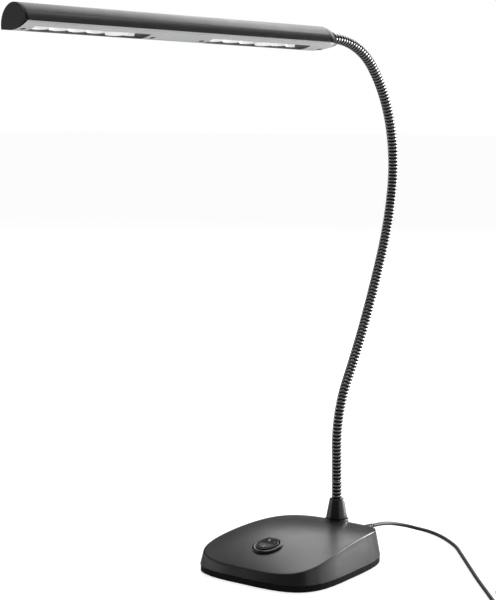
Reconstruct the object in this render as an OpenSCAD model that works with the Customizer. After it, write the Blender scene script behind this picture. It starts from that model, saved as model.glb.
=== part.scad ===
// Piano lamp: a half-round light bar on a ribbed gooseneck that stands on a weighted base.
// Millimetres, +Z up, the front toward -Y. The origin is the middle of the base's underside.

/* [Base] */
// Width of the base at mid depth
base_w = 139; // [134:1:150]
// Depth of the base, front to back
base_d = 172; // [166:1:184]
// How square the outline's corners are: 2 is an ellipse
corner_power = 3.7; // [3.3:0.1:5]
// How much wider the front is than the middle, as a share of the width
front_flare = 0.145; // [0.08:0.005:0.16]
// Height of the cover's top at the front edge
front_h = 15; // [14:0.5:17]
// Height of the cover's top at mid depth, at the sides
crest_h = 32.3; // [31.7:0.2:35]
// Height of the cover's top at the rear corners
rear_h = 29; // [28:0.5:31]
// Extra height of the middle line at the rear edge
rear_crown = 0.5; // [0:0.1:2]
// Extra height of the middle line at mid depth
mid_crown = 5.7; // [4:0.1:7]
// Wall of the cover
cover_wall = 2.5; // [2:0.1:3]
// How far the cover's sides lean in, as a share of their height
cover_draft = 0.175; // [0.12:0.005:0.2]
// Radius of the cover's top edge
edge_r = 1.2; // [0.8:0.2:2]
// Thickness of the foam pad
pad_t = 1; // [0.5:0.1:2]
// Height of the bottom plate's rim
plate_h = 5.8; // [5:0.1:7]
// Floor of the bottom plate
plate_t = 2; // [1.5:0.1:3]
// Thickness of the ballast slab
ballast_t = 7; // [5:0.5:8]

/* [Base fasteners and parts] */
// Distance between the cover screws, side to side
screw_span_x = 90; // [86:1:94]
// Distance between the cover screws, front to back
screw_span_y = 108; // [100:1:112]
// Thread diameter of the cover screws
cover_screw_d = 3.5; // [3:0.1:4]
// Head diameter of the cover screws
cover_screw_head_d = 6.4; // [5.8:0.1:7]
// Width of the driver board
board_w = 42; // [38:1:46]
// Length of the driver board
board_len = 58; // [54:1:64]
// Height of the board's spacers
spacer_h = 5; // [4:0.5:6]
// Height of the power jack's axis
jack_z = 17; // [16:0.5:18]
// Distance of the rocker switch from the base's front edge
switch_front = 40; // [37:1:44]
// Diameter of the switch's bezel
bezel_d = 22.4; // [21.6:0.2:23.2]
// Outer diameter of the collar round the switch
collar_d = 30; // [28:0.5:32]
// Tilt of the rocker each way from level
rocker_tilt = 8; // [5:1:9]

/* [Neck] */
// Distance of the neck's axis from the base's rear edge
neck_back = 19.5; // [18:0.5:22]
// Outer diameter of the gooseneck at its ribs
neck_d = 10; // [9.6:0.1:10.8]
// Depth of the grooves between ribs
groove_depth = 0.6; // [0.4:0.1:0.8]
// Length of one bending length
link_len = 69; // [60:0.5:78]
// Ribs on one bending length
link_ribs = 20; // [12:1:22]
// Diameter of the lead in the neck
neck_lead_d = 4.4; // [3.6:0.1:4.6]
// Height of the sleeve round the neck's foot
sleeve_h = 20.5; // [17:0.5:24]
// Diameter of the sleeve at its foot
sleeve_foot_d = 21.4; // [20:0.2:23]
// Diameter of the sleeve at its top
sleeve_top_d = 14.6; // [13.6:0.2:16]

/* [Head] */
// Length of the shade between its end caps
shade_len = 355; // [345:1:370]
// Radius of the half-round shade
shade_r = 18.2; // [17.4:0.1:20]
// Wall of the shade
shade_wall = 1.4; // [1.2:0.1:1.8]
// Straight lip below the half round
lip_h = 0.9; // [0.5:0.1:1.5]
// Thickness of the front end cap
front_cap_t = 3; // [2:0.5:4]
// How far the light panel bulges down
belly = 3.2; // [3:0.1:4]
// Distance between the light sources
led_pitch = 20; // [19:0.5:20.5]
// Light sources in one window
led_count = 6; // [3:1:6]
// Width of a window
window_w = 17; // [16:0.5:19]
// Distance from the front end to the first window
window_start = 16.5; // [15:0.5:18]
// Distance from the second window to the shade's rear end
window_end = 18.5; // [17:0.5:21]
// Thickness of the carrier strip
carrier_t = 1.5; // [1.2:0.1:2]
// Thread diameter of the panel screws
panel_screw_d = 3; // [2.6:0.1:3.2]

/* [Cord and adapter] */
// Diameter of the power cord
cord_d = 3.8; // [3.6:0.1:4]
// Mean diameter of the coil
coil_mean_d = 45.6; // [44:0.5:50]
// Loops in the coil
coil_loops = 9; // [5:4:13]
// Diameter of the plug's body
plug_d = 10; // [9:0.5:10.5]
// Length of the adapter's case
adapter_len = 68; // [60:1:75]
// Width of the adapter's case
adapter_w = 44; // [40:1:48]
// Height of the adapter's case
adapter_h = 30; // [28:1:34]

/* [Hidden] */
$fn = 48;

// Clearance round what is fitted by hand
fit_gap = 0.1;
// Clearance round a pin or thread
thread_gap = 0.05;
// Clearance between pieces that bend or turn
run_gap = 0.3;

black_plastic = [0.13, 0.13, 0.13];
dark_grey = [0.22, 0.22, 0.23];
silver = [0.72, 0.73, 0.74];
steel = [0.6, 0.61, 0.62];
copper = [0.72, 0.45, 0.2];

// ---- Closed skins from rings of points ----

// Triangles between ring i and ring i + 1 of n points, for rings that rise counter-clockwise
function band(n, lower, upper) = [for (j = [0 : n - 1])
    each [[lower * n + j, upper * n + j, upper * n + (j + 1) % n],
          [lower * n + j, upper * n + (j + 1) % n, lower * n + (j + 1) % n]]];
// A tube with flat ends: one band per pair of rings and a fan on each end
module capped_skin(rings) {
    n = len(rings[0]);
    m = len(rings);
    first_mid = m * n;
    bands = [for (i = [0 : m - 2]) each band(n, i, i + 1)];
    fans = [for (j = [0 : n - 1])
        each [[first_mid, j, (j + 1) % n], [first_mid + 1, (m - 1) * n + (j + 1) % n, (m - 1) * n + j]]];
    mids = [ring_mid(rings[0]), ring_mid(rings[m - 1])];
    polyhedron(points = concat([for (r = rings) each r], mids), faces = concat(bands, fans));
}
// A ring of rings: the last ring joins the first
module looped_skin(rings) {
    n = len(rings[0]);
    m = len(rings);
    polyhedron(points = [for (r = rings) each r],
        faces = [for (i = [0 : m - 1]) each band(n, i, (i + 1) % m)]);
}
function ring_mid(r) = [for (k = [0 : 2]) sum([for (p = r) p[k]]) / len(r)];
function sum(v, i = 0) = i < len(v) ? v[i] + sum(v, i + 1) : 0;

// ---- Swept tubes ----

function unit(v) = v / norm(v);
// Direction of a route at point i
function heading_at(pts, i) = unit(unit(pts[min(i + 1, len(pts) - 1)] - pts[min(i, len(pts) - 2)])
    + unit(pts[max(i, 1)] - pts[max(i - 1, 0)]));
// A ring of the given sides round a point, square to the heading; no part of the route runs along "up"
function ring_round(p, heading, r, sides, up) = let(
    across = unit(cross(heading, up)), over = cross(across, heading))
    [for (k = [0 : sides - 1]) let(a = 360 * (k + 0.5) / sides)
        p + r * cos(a) * across + r * sin(a) * over];
// Points of a smooth curve through a route, with the given steps between two points
function smooth(pts, steps) = concat([for (i = [0 : len(pts) - 2], k = [0 : steps - 1])
    spline(pts[max(i - 1, 0)], pts[i], pts[i + 1], pts[min(i + 2, len(pts) - 1)], k / steps)],
    [pts[len(pts) - 1]]);
function spline(a, b, c, d, t) = 0.5 * (2 * b + (c - a) * t + (2 * a - 5 * b + 4 * c - d) * t * t
    + (3 * b - a - 3 * c + d) * t * t * t);
module swept_tube(pts, d, sides, up = [0, 0, 1]) {
    capped_skin([for (i = [0 : len(pts) - 1]) ring_round(pts[i], heading_at(pts, i), d / 2, sides, up)]);
}
// A thin lead inside the lamp
module wire(pts, d, up) {
    swept_tube(smooth(pts, 3), d, 6, up);
}

// ---- Base ----

outline_points = 48;
ballast_inset = 9;
plate_rim = 3;
seam_z = pad_t + plate_h;
floor_z = pad_t + plate_t;
ballast_top = floor_z + ballast_t;
cover_gap = 0.3;
cover_boss_d = 8;

function signed_pow(v, p) = sign(v) * pow(abs(v), p);
// Point of the base's outline at angle t, drawn in by inset
function outline_at(t, inset) = let(
    y = (base_d / 2 - inset) * signed_pow(sin(t), 2 / corner_power),
    x = (base_w / 2 - inset) * signed_pow(cos(t), 2 / corner_power) * (1 - front_flare * 2 * y / base_d))
    [x, y];
function outline(inset) = [for (k = [0 : outline_points - 1])
    outline_at(360 * (k + 0.5) / outline_points, inset)];
// Height of the cover's top over a point
function top_z(x, y) = let(u = 2 * y / base_d, v = 2 * x / base_w)
    crest_h + (rear_h - front_h) / 2 * u + ((rear_h + front_h) / 2 - crest_h) * u * u
    + (rear_crown * (1 + u) / 2 + mid_crown * (1 - u * u)) * (1 - v * v);
// Ring of the cover at a constant height, and one that lies a given depth under the top
function level_ring(inset, z) = [for (p = outline(inset)) [p[0], p[1], z]];
function top_ring(inset, share, depth) = [for (k = [0 : outline_points - 1]) let(
    t = 360 * (k + 0.5) / outline_points, foot = outline_at(t, 0),
    lean = cover_draft * (top_z(foot[0], foot[1]) - seam_z), p = share * outline_at(t, inset + lean))
    [p[0], p[1], top_z(p[0], p[1]) - depth]];

screw_spots = [for (x = [-1, 1], y = [-1, 1]) [x * screw_span_x / 2, y * screw_span_y / 2]];
neck_y = base_d / 2 - neck_back;
switch_y = switch_front - base_d / 2;
neck_top_z = top_z(0, neck_y);
neck_boss_rise = 2.7;
neck_boss_z = neck_top_z + neck_boss_rise;
neck_boss_d = sleeve_foot_d + 2.6;
neck_boss_foot = neck_top_z - cover_wall - 3.6;
stud_d = neck_d;
switch_z = top_z(0, switch_y);
switch_slope = atan((top_z(0, switch_y + 1) - top_z(0, switch_y - 1)) / 2);
collar_sink = 1.2;
collar_h = 3.4;
housing_d = bezel_d - 2.4;
jack_d = 9;

module at_switch() {
    translate([0, switch_y, switch_z]) rotate([switch_slope, 0, 0]) children();
}

module foam_pad() {
    color(black_plastic) linear_extrude(pad_t) difference() {
        polygon(outline(2));
        for (s = screw_spots) translate(s) circle(d = cover_screw_head_d + 1.2);
    }
}

module base_plate() {
    color(dark_grey) difference() {
        translate([0, 0, pad_t]) linear_extrude(plate_h) polygon(outline(cover_gap));
        translate([0, 0, floor_z]) linear_extrude(plate_h) polygon(outline(cover_gap + plate_rim));
        for (s = screw_spots) translate([s[0], s[1], 0]) {
            cylinder(d = cover_screw_d + 0.4, h = seam_z);
            translate([0, 0, pad_t - 0.1]) cylinder(d = cover_screw_head_d + 0.2, h = plate_t / 2 + 0.1);
        }
    }
}

module ballast_weight() {
    color(steel) difference() {
        translate([0, 0, floor_z]) linear_extrude(ballast_t) polygon(outline(ballast_inset));
        for (s = screw_spots) translate([s[0], s[1], 0])
            cylinder(d = cover_boss_d + 2 * run_gap, h = 2 * ballast_top);
        for (s = board_spots) translate([s[0], s[1], ballast_top - board_hole_depth])
            cylinder(d = board_screw_d + 2 * thread_gap, h = board_hole_depth + 1);
    }
}

module base_cover() {
    rings = [
        top_ring(cover_wall, 0.3, cover_wall),
        top_ring(cover_wall, 0.65, cover_wall),
        top_ring(cover_wall, 1, cover_wall),
        level_ring(cover_wall, seam_z),
        level_ring(0, seam_z),
        top_ring(0, 1, edge_r),
        top_ring(edge_r * 0.3, 1, edge_r * 0.3),
        top_ring(edge_r, 1, 0),
        top_ring(edge_r, 0.8, 0),
        top_ring(edge_r, 0.55, 0),
        top_ring(edge_r, 0.28, 0)];
    color(dark_grey) difference() {
        union() {
            capped_skin(rings);
            for (s = screw_spots) translate([s[0], s[1], floor_z])
                cylinder(d = cover_boss_d, h = top_z(s[0], s[1]) - cover_wall / 2 - floor_z);
            translate([0, neck_y, neck_boss_foot])
                cylinder(d = neck_boss_d, h = neck_boss_z - neck_boss_foot);
        }
        for (s = screw_spots) translate([s[0], s[1], 0])
            cylinder(d = cover_screw_d + 2 * thread_gap, h = seam_z + 5);
        translate([0, neck_y, 0]) cylinder(d = stud_d + 2 * fit_gap, h = 2 * neck_boss_z);
        translate([0, base_d / 2 - 20, jack_z]) rotate([-90, 0, 0])
            cylinder(d = jack_d + 2 * fit_gap, h = 30);
        at_switch() {
            translate([0, 0, -15]) cylinder(d = housing_d + 2 * fit_gap, h = 30);
            translate([0, 0, -collar_sink]) cylinder(d = collar_d + 2 * fit_gap, h = 20);
        }
    }
}

module base_screws() {
    head_h = plate_t / 2 - 0.2;
    color(steel) for (s = screw_spots) translate([s[0], s[1], pad_t + plate_t / 2 - head_h]) difference() {
        union() {
            cylinder(d = cover_screw_head_d, h = head_h);
            cylinder(d = cover_screw_d, h = 8);
        }
        for (a = [0, 90]) rotate(a) translate([-2, -0.4, -1]) cube([4, 0.8, 1.5]);
    }
}

board_mid = [-27, 6];
board_screw_d = 2.6;
board_hole_depth = 4;
board_t = 1.6;
board_z = ballast_top + spacer_h;
board_spots = [for (x = [-1, 1], y = [-1, 1])
    board_mid + [x * (board_w / 2 - 4), y * (board_len / 2 - 4)]];

module driver_board() {
    color([0.1, 0.3, 0.16]) difference() {
        translate([board_mid[0] - board_w / 2, board_mid[1] - board_len / 2, board_z])
            cube([board_w, board_len, board_t]);
        for (s = board_spots) translate([s[0], s[1], board_z - 1]) cylinder(d = board_screw_d + 0.4, h = 5);
    }
}

module board_spacers() {
    color(silver) for (s = board_spots) translate([s[0], s[1], ballast_top]) difference() {
        cylinder(d = 5.5, h = spacer_h);
        translate([0, 0, -1]) cylinder(d = board_screw_d + 2 * fit_gap, h = spacer_h + 2);
    }
}

module board_screws() {
    shank = spacer_h + board_t + board_hole_depth - 0.5;
    color(steel) for (s = board_spots) translate([s[0], s[1], board_z + board_t]) {
        cylinder(d = 4.8, h = 1.6);
        translate([0, 0, -shank]) cylinder(d = board_screw_d, h = shank + 0.8);
    }
}

// Connectors of the driver board: supply, switch and neck
connector = [8, 6, 6];
parts_z = board_z + board_t;
supply_conn = board_mid + [8, board_len / 2 - 7];
neck_conn = board_mid + [-6, board_len / 2 - 7];
switch_conn = board_mid + [4, 6.5 - board_len / 2];

module driver_parts() {
    translate([board_mid[0], board_mid[1], parts_z]) {
        color(copper) difference() {
            translate([8, -4, 0]) cylinder(d = 14, h = 7);
            translate([8, -4, 3]) cylinder(d = 6, h = 5);
        }
        color(black_plastic) {
            for (y = [-12, 0]) translate([-10, y, 0]) cylinder(d = 8, h = 9);
            translate([-3, 8, 0]) cube([6, 5, 1.8]);
        }
    }
    color("ivory") for (c = [supply_conn, neck_conn, switch_conn])
        translate([c[0] - connector[0] / 2, c[1] - connector[1] / 2, parts_z]) cube(connector);
}

jack_len = 5;
jack_box = 9.6;
jack_back = base_d / 2 - 11.2;
jack_face = base_d / 2 - 0.1;

module dc_jack() {
    color(black_plastic) difference() {
        union() {
            translate([-jack_box / 2, jack_back, jack_z - jack_box / 2])
                cube([jack_box, jack_len, jack_box]);
            translate([0, jack_back, jack_z]) rotate([-90, 0, 0])
                cylinder(d = jack_d, h = jack_face - jack_back);
        }
        translate([0, jack_face - 10.5, jack_z]) rotate([-90, 0, 0])
            cylinder(d = barrel_d + 2 * fit_gap, h = 12);
    }
    color(silver) translate([0, jack_face - 11, jack_z]) rotate([-90, 0, 0]) cylinder(d = 1.9, h = 9);
}

lead_d = 2.4;
// Gap between the end of a lead or cord and what it goes into
end_gap = 0.4;

module base_leads() {
    lead_z = parts_z + connector[2] / 2;
    edge = connector[1] / 2;
    foot = stud_foot - end_gap;
    dip_z = ballast_top + lead_d / 2 + 2;
    color(black_plastic) {
        wire([[0, jack_back - end_gap, jack_z], [0, jack_back - 2, jack_z], [0, jack_back - 4, jack_z],
            [0, jack_back - 8, dip_z], [-6, jack_back - 19, dip_z],
            [supply_conn[0], supply_conn[1] + edge + 8, lead_z],
            [supply_conn[0], supply_conn[1] + edge + 3, lead_z],
            [supply_conn[0], supply_conn[1] + edge + end_gap, lead_z]], lead_d, [0, 0, 1]);
        wire([[0, neck_y, foot], [0, neck_y, foot - 1.5], [0, neck_y, foot - 3],
            [-10, neck_y - 8, foot - 3],
            [neck_conn[0], neck_conn[1] + edge + 8, lead_z],
            [neck_conn[0], neck_conn[1] + edge + 3, lead_z],
            [neck_conn[0], neck_conn[1] + edge + end_gap, lead_z]], lead_d, [1, -1, 1]);
        wire([[switch_conn[0], switch_conn[1] - edge - end_gap, lead_z],
            [switch_conn[0], switch_conn[1] - edge - 3, lead_z],
            [switch_conn[0], switch_conn[1] - edge - 6, lead_z],
            [-housing_d / 2 - 4, switch_y + 4, 14.5],
            [-housing_d / 2 - 2, switch_y, 13]], lead_d, [0, 0, 1]);
    }
}

module switch_collar() {
    wall = (collar_d - bezel_d) / 2 - fit_gap;
    color(black_plastic) at_switch() rotate_extrude() difference() {
        union() {
            translate([bezel_d / 2 + fit_gap, -collar_sink]) square([wall, collar_h - 1]);
            translate([(bezel_d + collar_d) / 4, collar_h - collar_sink - 1.2]) circle(d = wall);
        }
        square([bezel_d / 2 + fit_gap, 20]);
    }
}

housing_depth = 11;
bezel_top = 3.1;
rocker_pivot_z = 0.5;
rocker_ball_r = bezel_d / 2 - 2.1;
rocker_pin_d = 2;

module switch_housing() {
    cavity_r = rocker_ball_r + run_gap;
    color(black_plastic) at_switch() difference() {
        union() {
            translate([0, 0, -housing_depth]) cylinder(d = housing_d, h = housing_depth);
            translate([0, 0, -collar_sink]) cylinder(d = bezel_d, h = bezel_top + collar_sink);
        }
        translate([0, 0, rocker_pivot_z]) sphere(r = cavity_r);
        translate([0, 0, rocker_pivot_z]) cylinder(r = cavity_r, h = 10);
        translate([-bezel_d / 2 + 0.6, 0, rocker_pivot_z]) rotate([0, 90, 0])
            cylinder(d = rocker_pin_d + thread_gap, h = bezel_d - 1.2);
    }
}

module switch_rocker() {
    edge_z = 4.1;
    valley_z = 2.7;
    r = rocker_ball_r;
    color(dark_grey) at_switch() translate([0, 0, rocker_pivot_z])
        rotate([rocker_tilt, 0, 0]) difference() {
        intersection() {
            sphere(r = r);
            rotate([90, 0, 90]) translate([0, 0, -r]) linear_extrude(2 * r)
                polygon([[-r, -4], [r, -4], [r, edge_z], [0, valley_z], [-r, edge_z]]);
        }
        translate([-bezel_d, 0, 0]) rotate([0, 90, 0])
            cylinder(d = rocker_pin_d + 2 * thread_gap, h = 2 * bezel_d);
    }
}

module rocker_pin() {
    color(steel) at_switch() translate([-bezel_d / 2 + 0.8, 0, rocker_pivot_z]) rotate([0, 90, 0])
        cylinder(d = rocker_pin_d, h = bezel_d - 1.6);
}

module switch_terminals() {
    color(silver) at_switch() for (y = [-5, 0, 5])
        translate([-2.4, y - 0.4, -housing_depth - 4.5]) cube([4.8, 0.8, 4.5]);
}

// ---- Neck ----

flange_d = 15.4;
flange_h = 4;
washer_t = 1.2;
neck_nut_t = 4.6;
stud_foot = neck_boss_foot - washer_t - neck_nut_t - 1;
neck_z = neck_boss_z + flange_h + 1;
// Bend of each bending length about its own cross axis, and the turn about the neck before it
link_bends = [1, -31, 5, 3.5, 13, 26.5, 28, 43.8];
link_turns = [0, 0, 0, 0, 0, 2.5, 0, -16, 113];
link_sides = 8;
ball_r = neck_d / 2 - 0.7;
cup_r = ball_r + 0.25;
neck_bore_r = neck_lead_d / 2 + 0.55;
ball_len = 3;
rim_start = 1.4;
last_rib = 1.3;
flat_share = cos(180 / link_sides);

module neck_stud() {
    color(steel) translate([0, neck_y, 0]) rotate_extrude() polygon([
        [neck_bore_r - 0.25, stud_foot], [stud_d / 2, stud_foot], [stud_d / 2, neck_boss_z],
        [flange_d / 2, neck_boss_z], [flange_d / 2, neck_boss_z + flange_h],
        [ball_r - 0.05, neck_boss_z + flange_h], [ball_r - 0.05, neck_z],
        [3.9, neck_z + 1.6], [3.1, neck_z + 2.8], [neck_bore_r - 0.25, neck_z + 2.8]]);
}

module neck_washer() {
    color(silver) translate([0, neck_y, neck_boss_foot - washer_t]) difference() {
        cylinder(d = 18, h = washer_t);
        translate([0, 0, -1]) cylinder(d = stud_d + 2 * fit_gap, h = 4);
    }
}

module neck_nut() {
    color(silver) translate([0, neck_y, neck_boss_foot - washer_t - neck_nut_t]) difference() {
        cylinder(d = 16.2, h = neck_nut_t, $fn = 6);
        translate([0, 0, -1]) cylinder(d = stud_d + 2 * thread_gap, h = neck_nut_t + 2);
    }
}

module neck_sleeve() {
    foot_r = sleeve_foot_d / 2;
    top_r = sleeve_top_d / 2;
    sleeve_bore_r = neck_d / 2 + run_gap;
    flange_r = flange_d / 2 + fit_gap;
    step_z = flange_h + 0.2;
    color(dark_grey) translate([0, neck_y, neck_boss_z]) rotate_extrude() polygon(concat(
        [[flange_r, 0], [foot_r, 0]],
        [for (k = [1 : 7]) let(t = k / 8)
            [foot_r + (top_r - foot_r) * (0.35 * t + 0.65 * t * t) - 0.5 * sin(180 * t),
             1.5 + (sleeve_h - 2.5) * t]],
        [[top_r, sleeve_h - 1], [top_r - 0.6, sleeve_h], [sleeve_bore_r, sleeve_h],
         [sleeve_bore_r, step_z], [flange_r, step_z]]));
}

// Point of a bending length: distance s along it, and x and y across it
function link_point(i, s, x, y) = let(a = link_bends[i] * s / link_len,
    r = link_len / (link_bends[i] * PI / 180))
    [x, y * cos(a) - r * (1 - cos(a)), y * sin(a) + r * sin(a)];
function link_ring(i, s, r) = [for (k = [0 : link_sides - 1]) let(a = 360 * (k + 0.5) / link_sides)
    link_point(i, s, r * cos(a), r * sin(a))];
// Moves the children to the start of bending length i: its origin is the hinge point, Z runs along the neck
module at_link(i) {
    if (i == 0) translate([0, neck_y, neck_z]) rotate([0, 0, link_turns[0]]) children();
    else at_link(i - 1) translate(link_point(i - 1, link_len, 0, 0))
        rotate([link_bends[i - 1], 0, 0]) rotate([0, 0, link_turns[i]]) children();
}

module gooseneck_link(i) {
    crest = neck_d / 2;
    root = crest - groove_depth;
    pitch = (link_len - last_rib - rim_start) / link_ribs;
    bore_steps = 5;
    bore_from = link_len + ball_len;
    cup_angles = [56, 37, 17.9];
    bore_to = cup_r * sin(cup_angles[0]);
    outer = [for (k = [0 : 2 * link_ribs])
        link_ring(i, rim_start + k * pitch / 2, k % 2 == 0 ? crest : root)];
    ball = [link_ring(i, link_len - last_rib + 0.1, ball_r), link_ring(i, link_len, ball_r),
        link_ring(i, link_len + ball_len / 2, 0.937 * ball_r), link_ring(i, bore_from, 0.716 * ball_r)];
    bore = [for (k = [0 : bore_steps])
        link_ring(i, bore_from + (bore_to - bore_from) * k / bore_steps, neck_bore_r)];
    cup = [for (k = [1, 2])
        link_ring(i, cup_r * sin(cup_angles[k]), cup_r * cos(cup_angles[k]) / flat_share)];
    color(black_plastic) at_link(i) looped_skin(concat(outer, ball, bore, cup));
}

module neck_lead(i) {
    steps = 6;
    from = 3.9;
    to = link_len + 2;
    color(silver) at_link(i) capped_skin([for (k = [0 : steps])
        link_ring(i, from + (to - from) * k / steps, neck_lead_d / 2)]);
}

// ---- Head ----

// Where the gooseneck meets the head: past the shade's rear end, and above the lip
entry_past = 20.6;
entry_h = 9.1;
shade_end = front_cap_t + shade_len;
entry_s = shade_end + entry_past;
inner_r = shade_r - shade_wall;
panel_half_w = shade_r - 1.2;
belly_r = (panel_half_w * panel_half_w + belly * belly) / (2 * belly);
tongue_h = 1.5;
carrier_z = 5;
groove_gap = 0.1;
rail_t = 0.9;
rail_in = 2.4;
board_under = 1;
window_len = led_count * led_pitch + 5;
window_starts = [window_start, shade_end - window_end - window_len];
screw_margin = 7.5;
panel_screw_s = [window_starts[0] - screw_margin, window_starts[0] + window_len + screw_margin,
    window_starts[1] - screw_margin, shade_end + 1];
screw_head_d = 5.4;

// The head's own frame: X along the bar from its front end, Y across, Z up from the lips
module at_head() {
    at_link(len(link_bends)) rotate([0, 90, 0]) translate([-entry_s, 0, -entry_h]) children();
}
module along_bar(from, to) {
    translate([from, 0, 0]) rotate([90, 0, 90]) linear_extrude(to - from) children();
}
module half_round(r, bottom) {
    intersection() {
        union() {
            translate([0, lip_h]) circle(r = r, $fn = 96);
            translate([-r, bottom]) square([2 * r, lip_h - bottom]);
        }
        translate([-r, bottom]) square([2 * r, r + lip_h - bottom]);
    }
}
module belly_section(half_w) {
    intersection() {
        translate([0, belly_r - belly]) circle(r = belly_r, $fn = 96);
        translate([-half_w, -belly - 1]) square([2 * half_w, belly + 1]);
    }
}

module shade() {
    color(silver) at_head() along_bar(front_cap_t, shade_end) {
        difference() {
            half_round(shade_r, 0);
            translate([0, -0.01]) half_round(inner_r, -1);
        }
        for (side = [-1, 1], z = [carrier_z - groove_gap - rail_t, carrier_z + carrier_t + groove_gap])
            rail(side, z);
    }
}
// A rail on the shade's inner wall
module rail(side, z) {
    intersection() {
        translate([side > 0 ? inner_r - rail_in : -shade_r, z])
            square([shade_r - inner_r + rail_in, rail_t]);
        half_round(shade_r - shade_wall / 2, 0);
    }
}

module front_end_cap() {
    plug_h = 9;
    color(black_plastic) at_head() {
        along_bar(0, front_cap_t) {
            half_round(shade_r, 0);
            belly_section(panel_half_w);
        }
        along_bar(front_cap_t - 0.5, front_cap_t + 3) intersection() {
            half_round(inner_r - fit_gap, plug_h);
            translate([-shade_r, plug_h]) square([2 * shade_r, shade_r]);
        }
    }
}

cap_inner_r = shade_r - 2.2;
nut_s = shade_end + 5.4;
nut_t = 3.6;
boss_from = nut_s + nut_t;
boss_to = entry_s - 4;
boss_d = 12.6;
shank_d = 6.4;

// Profile of the rear cap's domed shell, turned about the vertical line through the shade's rear end
function quarter_arc(r) = [for (k = [0 : 12]) [r * cos(90 * k / 12), lip_h + r * sin(90 * k / 12)]];

module rear_end_cap() {
    plug_h = 9;
    inner_arc = quarter_arc(cap_inner_r);
    color(silver) at_head() difference() {
        union() {
            intersection() {
                translate([shade_end, 0, 0]) rotate_extrude($fn = 96)
                    polygon(concat([[shade_r, 0]], quarter_arc(shade_r),
                        [for (k = [12 : -1 : 0]) inner_arc[k]], [[cap_inner_r, 0]]));
                translate([shade_end, -2 * shade_r, -1]) cube([2 * shade_r, 4 * shade_r, 2 * shade_r]);
            }
            translate([boss_from, 0, entry_h]) rotate([0, 90, 0])
                cylinder(d = boss_d, h = boss_to - boss_from);
            along_bar(shade_end - 3, shade_end + 1) intersection() {
                difference() {
                    half_round(inner_r - fit_gap, plug_h);
                    half_round(inner_r - 2.2, 0);
                }
                translate([-shade_r, plug_h]) square([2 * shade_r, shade_r]);
            }
        }
        translate([shade_end, 0, entry_h]) rotate([0, 90, 0]) cylinder(d = shank_d + 2 * fit_gap, h = 30);
        translate([boss_to, 0, entry_h]) rotate([0, 90, 0]) cylinder(d = boss_d, h = 10);
    }
}

module light_panel() {
    color([0.8, 0.81, 0.82]) at_head() difference() {
        union() {
            along_bar(front_cap_t + 0.05, shade_end) belly_section(panel_half_w);
            along_bar(front_cap_t + 0.05, shade_end)
                translate([-inner_r + 0.4, -0.5]) square([2 * inner_r - 0.8, tongue_h + 0.5]);
            intersection() {
                translate([shade_end, 0, belly_r - belly]) sphere(r = belly_r, $fn = 96);
                translate([shade_end, -shade_r, -belly]) cube([shade_r, 2 * shade_r, belly]);
            }
            intersection() {
                translate([shade_end, 0, -0.5])
                    cylinder(r = cap_inner_r - 0.4, h = tongue_h + 0.5, $fn = 96);
                translate([shade_end, -shade_r, -belly]) cube([shade_r, 2 * shade_r, 2 * belly]);
            }
        }
        for (w = window_starts) translate([w, -window_w / 2, -belly - 1])
            cube([window_len, window_w, belly + tongue_h + 2]);
        for (s = panel_screw_s) translate([s, 0, -belly - 0.5]) {
            cylinder(d = panel_screw_d + 0.3, h = 10);
            cylinder(d = screw_head_d + 0.4, h = 2.1);
        }
    }
}

module board_carrier() {
    half_w = inner_r - 1.6;
    color(silver) at_head() difference() {
        translate([front_cap_t + 0.3, -half_w, carrier_z]) cube([shade_len + 3.2, 2 * half_w, carrier_t]);
        for (s = panel_screw_s) translate([s, 0, carrier_z - 1])
            cylinder(d = panel_screw_d + 2 * thread_gap, h = 5);
        for (s = lead_holes) translate([s, 0, carrier_z - 1]) cylinder(d = head_lead_d + 1, h = 5);
        translate([shade_end - 0.6, -2 * half_w, carrier_z - 1])
            cube([10, 2 * half_w - cap_inner_r + 4, 5]);
        translate([shade_end - 0.6, cap_inner_r - 4, carrier_z - 1]) cube([10, half_w, 5]);
    }
}

head_lead_d = 2;
board_margin = 1.5;
// Leads drop through the carrier beside the ends of the boards
lead_holes = [window_starts[0] + window_len + board_margin + head_lead_d / 2 + 0.3,
    window_starts[1] - board_margin - head_lead_d / 2 - 0.3,
    window_starts[1] + window_len + board_margin + head_lead_d / 2 + 0.3];

module led_board(w) {
    color("white") at_head() translate([w - board_margin, -window_w / 2, carrier_z - board_under])
        cube([window_len + 2 * board_margin, window_w, board_under]);
}

cup_top = carrier_z - board_under;
led_h = 0.9;

module led_chips() {
    color([0.95, 0.9, 0.55]) at_head() for (w = window_starts, k = [0 : led_count - 1])
        translate([w + 2.5 + (k + 0.5) * led_pitch - 1.75, -1.75, cup_top - led_h]) cube([3.5, 3.5, led_h]);
}

module reflector(w) {
    mouth_z = -belly + 1;
    depth = cup_top - mouth_z;
    color("white") at_head() difference() {
        translate([w + fit_gap, -window_w / 2 + fit_gap, mouth_z])
            cube([window_len - 2 * fit_gap, window_w - 2 * fit_gap, depth]);
        for (k = [0 : led_count - 1]) translate([w + 2.5 + (k + 0.5) * led_pitch, 0, mouth_z - 0.01])
            cylinder(r1 = led_pitch / 2 - 0.2, r2 = 4, h = depth + 0.02);
    }
}

module panel_screws() {
    head_h = 1.4;
    top = carrier_z + carrier_t;
    under = -belly + 0.2;
    color(steel) at_head() for (s = panel_screw_s) translate([s, 0, under]) difference() {
        union() {
            cylinder(d = screw_head_d, h = head_h);
            cylinder(d = panel_screw_d, h = top - under);
        }
        for (a = [0, 90]) rotate(a) translate([-1.5, -0.35, -1]) cube([3, 0.7, 1.7]);
    }
}

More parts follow.
